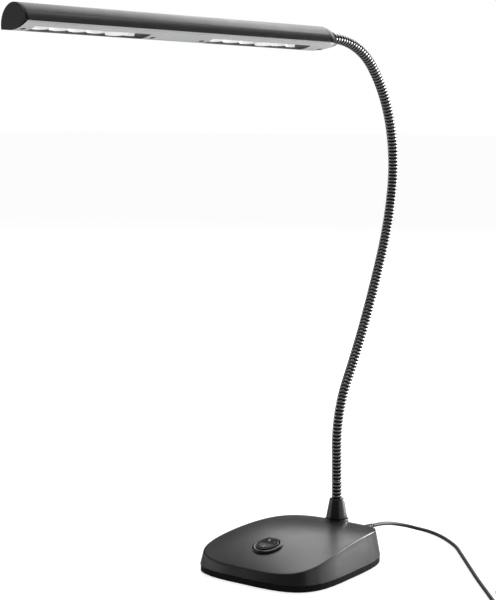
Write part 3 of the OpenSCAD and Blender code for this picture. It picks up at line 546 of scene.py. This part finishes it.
def makeSwitch(s, b):
    place = switchPlace(b, s)
    inner = s["bezelWide"] / 2 + 0.1
    outer = s["collarWide"] / 2
    low = -s["sink"]
    high = s["collarHigh"] - s["sink"]
    mid = (inner + outer) / 2
    half = (outer - inner) / 2
    crown = [(mid + half * math.cos(math.radians(a)), high - 1.2 + 1.2 * math.sin(math.radians(a)))
             for a in range(0, 181, 15)]
    collar = lathe("switchCollar", [(inner, low), (outer, low)] + crown, place, 128, True)
    finish(collar, "glossBlack")
    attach(collar, "base")
    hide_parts("switch_collar")
    wide = s["bezelWide"] / 2
    cavity = s["ballRadius"] + 0.3
    top, deep, floor = s["bezelTop"], -s["bodyDeep"], -s["cavityDeep"]
    profile = [(s["bodyWide"] / 2, deep), (s["bodyWide"] / 2, low), (wide, low), (wide, top - 0.5),
               (wide - 0.2, top - 0.1), (wide - 0.6, top), (cavity + 0.5, top), (cavity, top - 0.4),
               (cavity, floor), (0.01, floor), (0.01, deep)]
    housing = lathe("switchBezel", profile, place, 128, True)
    finish(housing, "mattBlack")
    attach(housing, "base")
    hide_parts("switch_housing")
    makeRocker(s, place)


def rockerTop(s, y):
    # two faces that meet in a soft valley
    return s["faceHigh"] + math.sqrt((s["faceRise"] * y / s["ballRadius"]) ** 2 + 0.02) - 0.14


def makeRocker(s, place):
    turn = place @ moved(0, 0, s["pivotHigh"]) @ Matrix.Rotation(math.radians(s["tilt"]), 4, "X")
    around, rows = 96, 26
    ball = s["ballRadius"]
    rings = []
    for k in range(rows + 1):
        ring = []
        for j in range(around):
            a = 2 * math.pi * j / around
            reach = math.sqrt(ball ** 2 - rockerTop(s, 8.4 * math.sin(a)) ** 2) - 0.25
            share = 0.01 + 0.99 * k / rows
            x, y = reach * math.cos(a) * share, reach * math.sin(a) * share
            ring.append((x, y, rockerTop(s, y)))
        rings.append(ring)
    edge = rings[-1]
    rings.append([(x * 1.02, y * 1.02, z - 0.08) for x, y, z in edge])
    rings.append([(x * 1.03, y * 1.03, z - 0.3) for x, y, z in edge])
    for share, z in ((0.985, 0.6), (0.9, -3.6)):
        rings.append([(ball * share * math.cos(2 * math.pi * j / around),
                       ball * share * math.sin(2 * math.pi * j / around), z) for j in range(around)])
    piece = ringSkin("rockerButton", rings, turn)
    finish(piece, "rockerBlack")
    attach(piece, "rocker")
    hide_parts("switch_rocker")
    # a ring on the rear half means off, a bar on the front half means on
    foot = s["markLift"]
    crown = foot + s["markThick"]

    def onFace(outline, lift):
        return [(x, y, rockerTop(s, y) + lift) for x, y in outline]

    ringMark = []
    for radius, lift in ((1, foot), (1, crown), (0.72, crown), (0.72, foot)):
        oval = [(1.15 * radius * math.cos(2 * math.pi * j / 40),
                 4.9 + 1.5 * radius * math.sin(2 * math.pi * j / 40)) for j in range(40)]
        ringMark.append(onFace(oval, lift))
    offMark = ringSkin("offMark", ringMark, turn, looped=True, smooth=False)
    bar = [(-0.22, -6.3), (0.22, -6.3), (0.22, -3.6), (-0.22, -3.6)]
    onMark = ringSkin("onMark", [onFace(bar, lift) for lift in (foot, crown)], turn, smooth=False)
    for mark in (offMark, onMark):
        finish(mark, "markWhite")
        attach(mark, "rocker")


makeSwitch(switch, base)
print("base made")


neck = dict(back=base["neckBack"], foot=topHigh(base, 0, base["neckBack"]) + base["bossRise"] + 5,
            linkLong=69.0, ribsPerLink=19, crest=5.15, groove=0.85, blendReach=22,
            bends=[1, -31, 5, 3.5, 13, 26.5, 28, 43.8], turns=[0, 0, 0, 0, 0, 2.5, 0, -16, 113])


def neckFrames(n):
    place = (Matrix.Translation((0, n["back"], n["foot"]))
             @ Matrix.Rotation(math.radians(n["turns"][0]), 4, "Z"))
    out = [place]
    for bend, turn in zip(n["bends"], n["turns"][1:]):
        end = linkPoint(n, bend, n["linkLong"])
        place = (place @ Matrix.Translation(end) @ Matrix.Rotation(math.radians(bend), 4, "X")
                 @ Matrix.Rotation(math.radians(turn), 4, "Z"))
        out.append(place)
    return out


def linkPoint(n, bend, s):
    a = math.radians(bend) * s / n["linkLong"]
    r = n["linkLong"] / math.radians(bend)
    return Vector((0, -r * (1 - math.cos(a)), r * math.sin(a)))


frames = neckFrames(neck)


def neckLine(n, start, end, steps):
    # points along the neck between two distances from its foot
    out = []
    for k in range(steps + 1):
        s = start + (end - start) * k / steps
        i = min(int(s / n["linkLong"]), len(n["bends"]) - 1)
        out.append(frames[i] @ linkPoint(n, n["bends"][i], s - i * n["linkLong"]))
    return out


def addMath(nodes, links, kind, first, second=None):
    step = nodes.new("ShaderNodeMath")
    step.operation = kind
    for socket, value in zip(step.inputs, (first, second)):
        if isinstance(value, (int, float)):
            socket.default_value = value
        elif value is not None:
            links.new(value, socket)
    return step.outputs[0]


def ribTree():
    # a tube whose radius swings once per rib; it keeps how near each point is to a crest
    tree = bpy.data.node_groups.new("ribbedHose", "GeometryNodeTree")
    face = tree.interface
    face.new_socket("Geometry", in_out="INPUT", socket_type="NodeSocketGeometry")
    for name in ("Rib Pitch", "Crest Radius", "Groove Depth"):
        face.new_socket(name, in_out="INPUT", socket_type="NodeSocketFloat")
    face.new_socket("Finish", in_out="INPUT", socket_type="NodeSocketMaterial")
    face.new_socket("Geometry", in_out="OUTPUT", socket_type="NodeSocketGeometry")
    nodes, links = tree.nodes, tree.links
    start = nodes.new("NodeGroupInput")
    end = nodes.new("NodeGroupOutput")
    pitch = start.outputs["Rib Pitch"]
    resample = nodes.new("GeometryNodeResampleCurve")
    resample.mode = "LENGTH"
    links.new(start.outputs["Geometry"], resample.inputs["Curve"])
    links.new(addMath(nodes, links, "DIVIDE", pitch, 8), resample.inputs["Length"])
    along = nodes.new("GeometryNodeSplineParameter")
    turns = addMath(nodes, links, "DIVIDE", along.outputs["Length"], pitch)
    wave = addMath(nodes, links, "COSINE", addMath(nodes, links, "MULTIPLY", turns, math.pi))
    shape = addMath(nodes, links, "POWER", addMath(nodes, links, "ABSOLUTE", wave), 0.55)
    depth = addMath(nodes, links, "SUBTRACT", 1, shape)
    drop = addMath(nodes, links, "MULTIPLY", depth, start.outputs["Groove Depth"])
    radius = addMath(nodes, links, "SUBTRACT", start.outputs["Crest Radius"], drop)
    ring = nodes.new("GeometryNodeCurvePrimitiveCircle")
    ring.inputs["Resolution"].default_value = 28
    ring.inputs["Radius"].default_value = 1
    keep = nodes.new("GeometryNodeStoreNamedAttribute")
    keep.data_type = "FLOAT"
    keep.domain = "POINT"
    keep.inputs["Name"].default_value = "crest"
    mesh = nodes.new("GeometryNodeCurveToMesh")
    mesh.inputs["Fill Caps"].default_value = True
    paint = nodes.new("GeometryNodeSetMaterial")
    links.new(resample.outputs["Curve"], keep.inputs["Geometry"])
    links.new(shape, keep.inputs["Value"])
    links.new(keep.outputs["Geometry"], mesh.inputs["Curve"])
    links.new(ring.outputs["Curve"], mesh.inputs["Profile Curve"])
    links.new(radius, mesh.inputs["Scale"])
    links.new(mesh.outputs["Mesh"], paint.inputs["Geometry"])
    links.new(start.outputs["Finish"], paint.inputs["Material"])
    links.new(paint.outputs["Geometry"], end.inputs["Geometry"])
    return tree


def socketId(tree, name):
    return next(item.identifier for item in tree.interface.items_tree
                if item.name == name and item.in_out == "INPUT")


def makeHose(n, tree, name, start, end):
    points = [p * mm for p in neckLine(n, start, end, 48)]
    guide = addObject(name + "Guide", addCurve(name, points))
    ribs = guide.modifiers.new("ribs", "NODES")
    ribs.node_group = tree
    ribs[socketId(tree, "Rib Pitch")] = n["linkLong"] / n["ribsPerLink"] * mm
    ribs[socketId(tree, "Crest Radius")] = n["crest"] * mm
    ribs[socketId(tree, "Groove Depth")] = n["groove"] * mm
    ribs[socketId(tree, "Finish")] = materials["neckPaint"]
    hose = bakeModifiers(guide)
    bpy.data.objects.remove(guide, do_unlink=True)
    hose.name = name
    tidyNormals(hose)
    setSmooth(hose, True, 60)
    return hose


def makeNeck(n):
    tree = ribTree()
    long = n["linkLong"]
    count = len(n["bends"])
    foot = makeHose(n, tree, "hoseFoot", 0, long / 2)
    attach(foot, "base")
    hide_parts("gooseneck_link_1")
    for k in range(1, count):
        hose = makeHose(n, tree, "hose%d" % k, (k - 0.5) * long, (k + 0.5) * long)
        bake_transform(hose)
        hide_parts("gooseneck_link_%d" % (k + 1))
    top = makeHose(n, tree, "hoseTop", (count - 0.5) * long, count * long + 0.4)
    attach(top, "head")


makeNeck(neck)

sleeve = dict(footWide=21.4, topWide=14.6, high=20.5, bore=10.6, seatWide=15.8, seatHigh=5.0)


def makeSleeve(s, n):
    z = topHigh(base, 0, n["back"]) + base["bossRise"]
    foot, top = s["footWide"] / 2, s["topWide"] / 2
    bore, seat = s["bore"] / 2, s["seatWide"] / 2
    profile = [(seat, 0), (foot - 0.5, 0), (foot - 0.12, 0.15), (foot, 0.5)]
    for k in range(1, 28):
        t = k / 28
        profile.append((foot + (top - foot) * (0.35 * t + 0.65 * t * t) - 0.5 * math.sin(math.pi * t),
                        1.0 + (s["high"] - 2.0) * t))
    profile += [(top, s["high"] - 1), (top - 0.15, s["high"] - 0.4), (top - 0.6, s["high"]),
                (bore + 0.1, s["high"]), (bore, s["high"] - 0.3), (bore, s["seatHigh"]),
                (seat, s["seatHigh"])]
    piece = lathe("neckSleeve", profile, moved(0, n["back"], z), 96, True)
    finish(piece, "sleevePlastic")
    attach(piece, "base")
    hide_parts("neck_sleeve")


makeSleeve(sleeve, neck)
print("neck made")


head = dict(shadeLong=355.0, radius=18.2, wall=1.4, lip=0.9, capThick=3.0, belly=3.2, ledPitch=20.0,
            ledCount=6,
            windowWide=17.0, windowStart=16.5, windowSpan=198.0, windowRim=2.5, carrierHigh=5.0,
            entryPast=20.6, entryHigh=9.1, cupLong=11.6, cupFoot=0.42, paintedShadeEnd=7.0, recess=2.6,
            screwGap=7.5, screwWide=3.3, screwHeadWide=5.8, screwSink=1.6)
shadeEnd = head["capThick"] + head["shadeLong"]
headPlace = (frames[-1] @ Matrix.Rotation(math.pi / 2, 4, "Y")
             @ Matrix.Translation((-(shadeEnd + head["entryPast"]), 0, -head["entryHigh"])))
headPlace.translation *= mm
windowLong = head["ledCount"] * head["ledPitch"] + 2 * head["windowRim"]
windowStarts = [head["windowStart"], head["windowStart"] + head["windowSpan"]]


def makeShade(h):
    r, wall, lip = h["radius"], h["wall"], h["lip"]
    outer = [(r * math.cos(math.radians(a)), lip + r * math.sin(math.radians(a))) for a in range(0, 181, 3)]
    inner = [(-(r - wall) * math.cos(math.radians(a)), lip + (r - wall) * math.sin(math.radians(a)))
             for a in range(0, 181, 6)]
    profile = ([(r - 0.25, 0), (r, 0.25)] + outer + [(-r, 0.25), (-r + 0.25, 0), (-r + wall, 0)]
               + inner + [(r - wall, 0)])
    first = h["capThick"]
    # the ends are slightly narrower, so that their edges catch the light
    rings = [[(s, y * across, z * up) for y, z in profile]
             for s, across, up in ((first, 0.994, 0.996), (first + 0.15, 1, 1), (shadeEnd - 0.15, 1, 1),
                                   (shadeEnd, 0.994, 0.996))]
    piece = ringSkin("shadeShell", rings, headPlace, capped=False)
    closeHoles(piece)
    finish(piece, "shadeAnodised")
    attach(piece, "head")
    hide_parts("shade")


def closeHoles(piece):
    shape = bmesh.new()
    shape.from_mesh(piece.data)
    edges = [e for e in shape.edges if len(e.link_faces) == 1]
    bmesh.ops.holes_fill(shape, edges=edges, sides=0)
    bmesh.ops.recalc_face_normals(shape, faces=shape.faces)
    shape.to_mesh(piece.data)
    shape.free()
    setSmooth(piece)


def makeRearCap(h):
    r, lip = h["radius"], h["lip"]
    inner = r - 2.2
    around = 64

    def domeRing(radius, k):
        a = math.radians(90 * k / 24)
        turns = [math.radians(-90 + 180 * j / around) for j in range(around + 1)]
        return [(shadeEnd + 0.05 + radius * math.cos(a) * math.cos(t),
                 radius * math.cos(a) * math.sin(t), lip + radius * math.sin(a)) for t in turns]

    rings = [domeRing(r, k) for k in range(25)] + [domeRing(inner, k) for k in range(24, -1, -3)]
    rings = ([[(x, y, 0) for x, y, z in rings[0]]] + rings
             + [[(x, y, 0) for x, y, z in rings[-1]]])
    points = [p for ring in rings for p in ring]
    faces = bandFaces(around + 1, len(rings), closed=False)
    last = (len(rings) - 1) * (around + 1)
    faces += [(last + j, last + j + 1, j + 1, j) for j in range(around)]
    dome = addMesh("capDome", points, faces, headPlace)
    closeHoles(dome)
    place = headPlace @ moved(shadeEnd, 0, h["entryHigh"]) @ Matrix.Rotation(math.pi / 2, 4, "Y")
    boss = lathe("capBoss", [(3.5, 9), (6.3, 9), (6.3, 15.9), (6.1, 16.5), (3.5, 16.6)], place, 64, True)
    piece = joinPieces("rearCap", [dome, boss])
    finish(piece, "coverPlastic")
    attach(piece, "head")
    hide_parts("rear_end_cap")


def makePanel(h):
    half = h["radius"] - 1.2
    ball = (half * half + h["belly"] ** 2) / (2 * h["belly"])
    start = h["capThick"] + 0.05
    path = [start + (shadeEnd - start) * k / 40 for k in range(41)]
    outline = [(s, 0.0, 1.0) for s in path]
    outline += [(shadeEnd, math.sin(math.radians(a)), math.cos(math.radians(a))) for a in range(5, 180, 5)]
    outline += [(s, 0.0, -1.0) for s in reversed(path)]
    shares = [1, 0.985, 0.95, 0.94, 0.915, 0.905, 0.87, 0.86, 0.845, 0.835, 0.82]
    shares += [0.8 - 0.08 * k for k in range(10)] + [0.0]

    def bellyHigh(y, share):
        # two grooves run near the lip
        z = -(math.sqrt(ball * ball - y * y) - (ball - h["belly"]))
        if 0.91 < share < 0.945 or 0.84 < share < 0.865:
            z += 0.5
        return z

    rings = []
    for share in shares:
        r = half * share
        rings.append([(s + r * out, r * side, bellyHigh(r, share)) for s, out, side in outline])
    count = len(outline)
    points = [p for ring in rings for p in ring]
    faces = bandFaces(count, len(rings), closed=False)
    top = len(points)
    points += [(s + half * out, half * side, 0.9) for s, out, side in outline]
    faces += [(top + j, top + j + 1, j + 1, j) for j in range(count - 1)]
    faces.append(tuple(range(top, top + count)))  # flat upper side
    near = [i * count for i in range(len(rings))]
    far = [i * count + count - 1 for i in reversed(range(len(rings) - 1))]
    faces.append(tuple([top] + near + far + [top + count - 1]))  # front end
    piece = addMesh("panelSheet", points, faces, headPlace)
    cutters = []
    for w in windowStarts:
        cutters.append(boxMesh("windowCut", (w, -h["windowWide"] / 2, -10),
                               (w + windowLong, h["windowWide"] / 2, 10), headPlace, 1.2))
    shank, rim, seat = h["screwWide"] / 2, h["screwHeadWide"] / 2, -h["belly"] + h["screwSink"]
    for s in screwPlaces(h):
        cutters.append(lathe("screwCut", [(rim, -8), (rim, seat), (shank, seat), (shank, 8)],
                             headPlace @ moved(s, 0, 0), 40))
    cutWith(piece, cutters)
    finish(piece, "panelPlastic")
    piece.data.materials.append(materials["paintedShade"])
    inward = headPlace.inverted()
    level = inward.to_3x3()
    for face in piece.data.polygons:
        spot = inward @ face.center / mm
        upright = abs((level @ face.normal).normalized().z) < 0.05
        inside = abs(spot.y) < h["windowWide"] / 2 + 0.1
        # painted shade: the walls of the windows get the darker grey that stands in for their shade
        if upright and inside and h["windowStart"] - 0.2 < spot.x < shadeEnd - 10:
            face.material_index = 1
    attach(piece, "head")
    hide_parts("light_panel")
    piece.name = "lightPanel"


def screwPlaces(h):
    first, gap = h["windowStart"], h["screwGap"]
    return [first - gap, first + windowLong + gap, first + h["windowSpan"] - gap, shadeEnd + 1]


def splitAlong(piece, point, normal):
    # adds an edge loop where a plane of the head cuts the piece
    shape = bmesh.new()
    shape.from_mesh(piece.data)
    bmesh.ops.bisect_plane(shape, geom=shape.verts[:] + shape.edges[:] + shape.faces[:],
                           plane_co=headPlace @ (point * mm), plane_no=headPlace.to_3x3() @ normal)
    shape.to_mesh(piece.data)
    shape.free()


def makeReflector(h, index):
    w = windowStarts[index]
    low = -h["belly"] + h["recess"]
    high = h["carrierHigh"] - 1
    block = boxMesh("reflectorBlock%d" % (index + 1), (w + 0.1, -h["windowWide"] / 2 + 0.1, low),
                    (w + windowLong - 0.1, h["windowWide"] / 2 - 0.1, high), headPlace, 1.1)
    cutters = []
    half = h["windowWide"] / 2 - 0.2
    foot = h["cupFoot"] * half
    cup = [(foot + (half - foot) * math.sqrt(t / 10), high + 0.01 - (high - low + 0.02) * t / 10)
           for t in range(11)]
    for k in range(h["ledCount"]):
        middle = w + h["windowRim"] + (k + 0.5) * h["ledPitch"]
        place = headPlace @ moved(middle, 0, 0) @ Matrix.Diagonal((h["cupLong"] / half, 1, 1, 1))
        cutters.append(lathe("cup", [(foot, high + 1)] + cup + [(half, low - 1)], place, 64))
    cutWith(block, cutters)
    finish(block, "reflectorWhite")
    block.data.materials.append(materials["paintedShade"])
    # painted shade: the far half of the mouth and the rear end get the darker grey that stands in for shade
    # in the recess
    splitAlong(block, Vector((0, 0, 0)), Vector((0, 1, 0)))
    splitAlong(block, Vector((w + windowLong - h["paintedShadeEnd"], 0, 0)), Vector((1, 0, 0)))
    inward = headPlace.inverted()
    for face in block.data.polygons:
        spot = inward @ face.center / mm
        flat = abs(spot.z - low) < 0.02 and spot.y > 0
        if flat or spot.x > w + windowLong - h["paintedShadeEnd"]:
            face.material_index = 1
    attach(block, "head")
    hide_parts("reflector_%d" % (index + 1))


makeShade(head)
makeRearCap(head)
makePanel(head)
for index in (0, 1):
    makeReflector(head, index)
print("head made")


nodeFinish = {
    "platePaint": ["base_plate", "front_end_cap"], "padFoam": ["foam_pad"], "ballastIron": ["ballast_weight"],
    "boardGreen": ["driver_board"], "mattBlack": ["driver_parts", "dc_jack", "adapter_shell", "adapter_lid"],
    "cordRubber": ["base_leads", "head_leads", "adapter_relief"] + ["neck_lead_%d" % k for k in range(1, 9)],
    "screwSteel": ["base_screws", "board_spacers", "board_screws", "rocker_pin", "neck_stud",
                   "neck_washer", "neck_nut", "ferrule_nut", "plug_barrel", "mains_pins"],
    "darkScrew": ["panel_screws", "head_ferrule"], "contactBrass": ["switch_terminals"],
    "carrierMetal": ["board_carrier"], "reflectorWhite": ["led_board_1", "led_board_2"],
    "phosphorYellow": ["led_chips"],
}
for name, parts in nodeFinish.items():
    for part in parts:
        finishNode(part, name)


def makeWorld():
    world = bpy.data.worlds.new("studio")
    bpy.context.scene.world = world
    world.use_nodes = True
    nodes, links = world.node_tree.nodes, world.node_tree.links
    soft = nodes["Background"]
    soft.inputs["Color"].default_value = (0.95, 0.97, 1, 1)
    soft.inputs["Strength"].default_value = 0.1
    white = nodes.new("ShaderNodeBackground")
    white.inputs["Color"].default_value = (1, 1, 1, 1)
    white.inputs["Strength"].default_value = 1
    path = nodes.new("ShaderNodeLightPath")
    mix = nodes.new("ShaderNodeMixShader")
    links.new(path.outputs["Is Camera Ray"], mix.inputs["Fac"])
    links.new(soft.outputs[0], mix.inputs[1])
    links.new(white.outputs[0], mix.inputs[2])
    links.new(mix.outputs[0], nodes["World Output"].inputs["Surface"])


def addPanelLight(name, place, target, size, glow):
    # glow is the brightness of the lit face
    lamp = bpy.data.lights.new(name, "AREA")
    lamp.shape = "RECTANGLE"
    lamp.size, lamp.size_y = size
    lamp.energy = glow * 4 * size[0] * size[1]
    holder = addObject(name, lamp)
    holder.location = place
    holder.rotation_euler = (Vector(target) - Vector(place)).to_track_quat("-Z", "Y").to_euler()
    holder.visible_camera = False


def addSky(power, spread):
    lamp = bpy.data.lights.new("sky", "SUN")
    lamp.energy = power
    lamp.angle = math.radians(spread)
    addObject("sky", lamp).location = (0, 0, 3)


def makeFloor():
    r = 30.0
    mesh = bpy.data.meshes.new("floor")
    mesh.from_pydata([(-r, -r, 0), (r, -r, 0), (r, r, 0), (-r, r, 0)], [], [(0, 1, 2, 3)])
    floor = addObject("floor", mesh)
    material, nodes, links, shader = newMaterial("paleFloor")
    coords = nodes.new("ShaderNodeTexCoord").outputs["Object"]
    haze = addNoise(nodes, links, coords, 3, 2)
    tint = addColourMix(nodes, links, haze, (0.43, 0.43, 0.43), (0.45, 0.45, 0.45))
    links.new(tint, shader.inputs["Base Color"])
    shader.inputs["Roughness"].default_value = 0.9
    shader.inputs["Specular IOR Level"].default_value = 0.0
    glow = nodes.new("ShaderNodeEmission")
    glow.inputs["Color"].default_value = (1, 1, 1, 1)
    glow.inputs["Strength"].default_value = 0.76
    both = nodes.new("ShaderNodeAddShader")
    links.new(shader.outputs[0], both.inputs[0])
    links.new(glow.outputs[0], both.inputs[1])
    # reflections see a dimmer floor than the camera does
    dim = nodes.new("ShaderNodeBsdfDiffuse")
    dim.inputs["Color"].default_value = (0.2, 0.2, 0.2, 1)
    path = nodes.new("ShaderNodeLightPath")
    pick = nodes.new("ShaderNodeMixShader")
    links.new(path.outputs["Is Glossy Ray"], pick.inputs["Fac"])
    links.new(both.outputs[0], pick.inputs[1])
    links.new(dim.outputs[0], pick.inputs[2])
    links.new(pick.outputs[0], nodes["Material Output"].inputs["Surface"])
    mesh.materials.append(material)


makeWorld()
addSky(1.2, 50)
addPanelLight("rearHigh", (-0.6, 2.1, 2.7), (0, 0, 0.2), (3.6, 3.2), 2.1)
addPanelLight("rearLow", (0.5, 1.7, 0.29), (0, 0, 0.1), (1.1, 0.56), 13.0)
addPanelLight("rightRear", (1.9, 1.6, 0.34), (0, 0, 0.2), (1.5, 0.62), 1.8)
addPanelLight("right", (2.3, 0.0, 0.34), (0, 0, 0.2), (1.7, 0.62), 0.9)
addPanelLight("leftFront", (-2.2, -0.9, 0.44), (0, 0, 0.2), (2.4, 0.8), 1.3)
makeFloor()
bpy.context.scene.view_settings.view_transform = "Standard"
print("stage made")
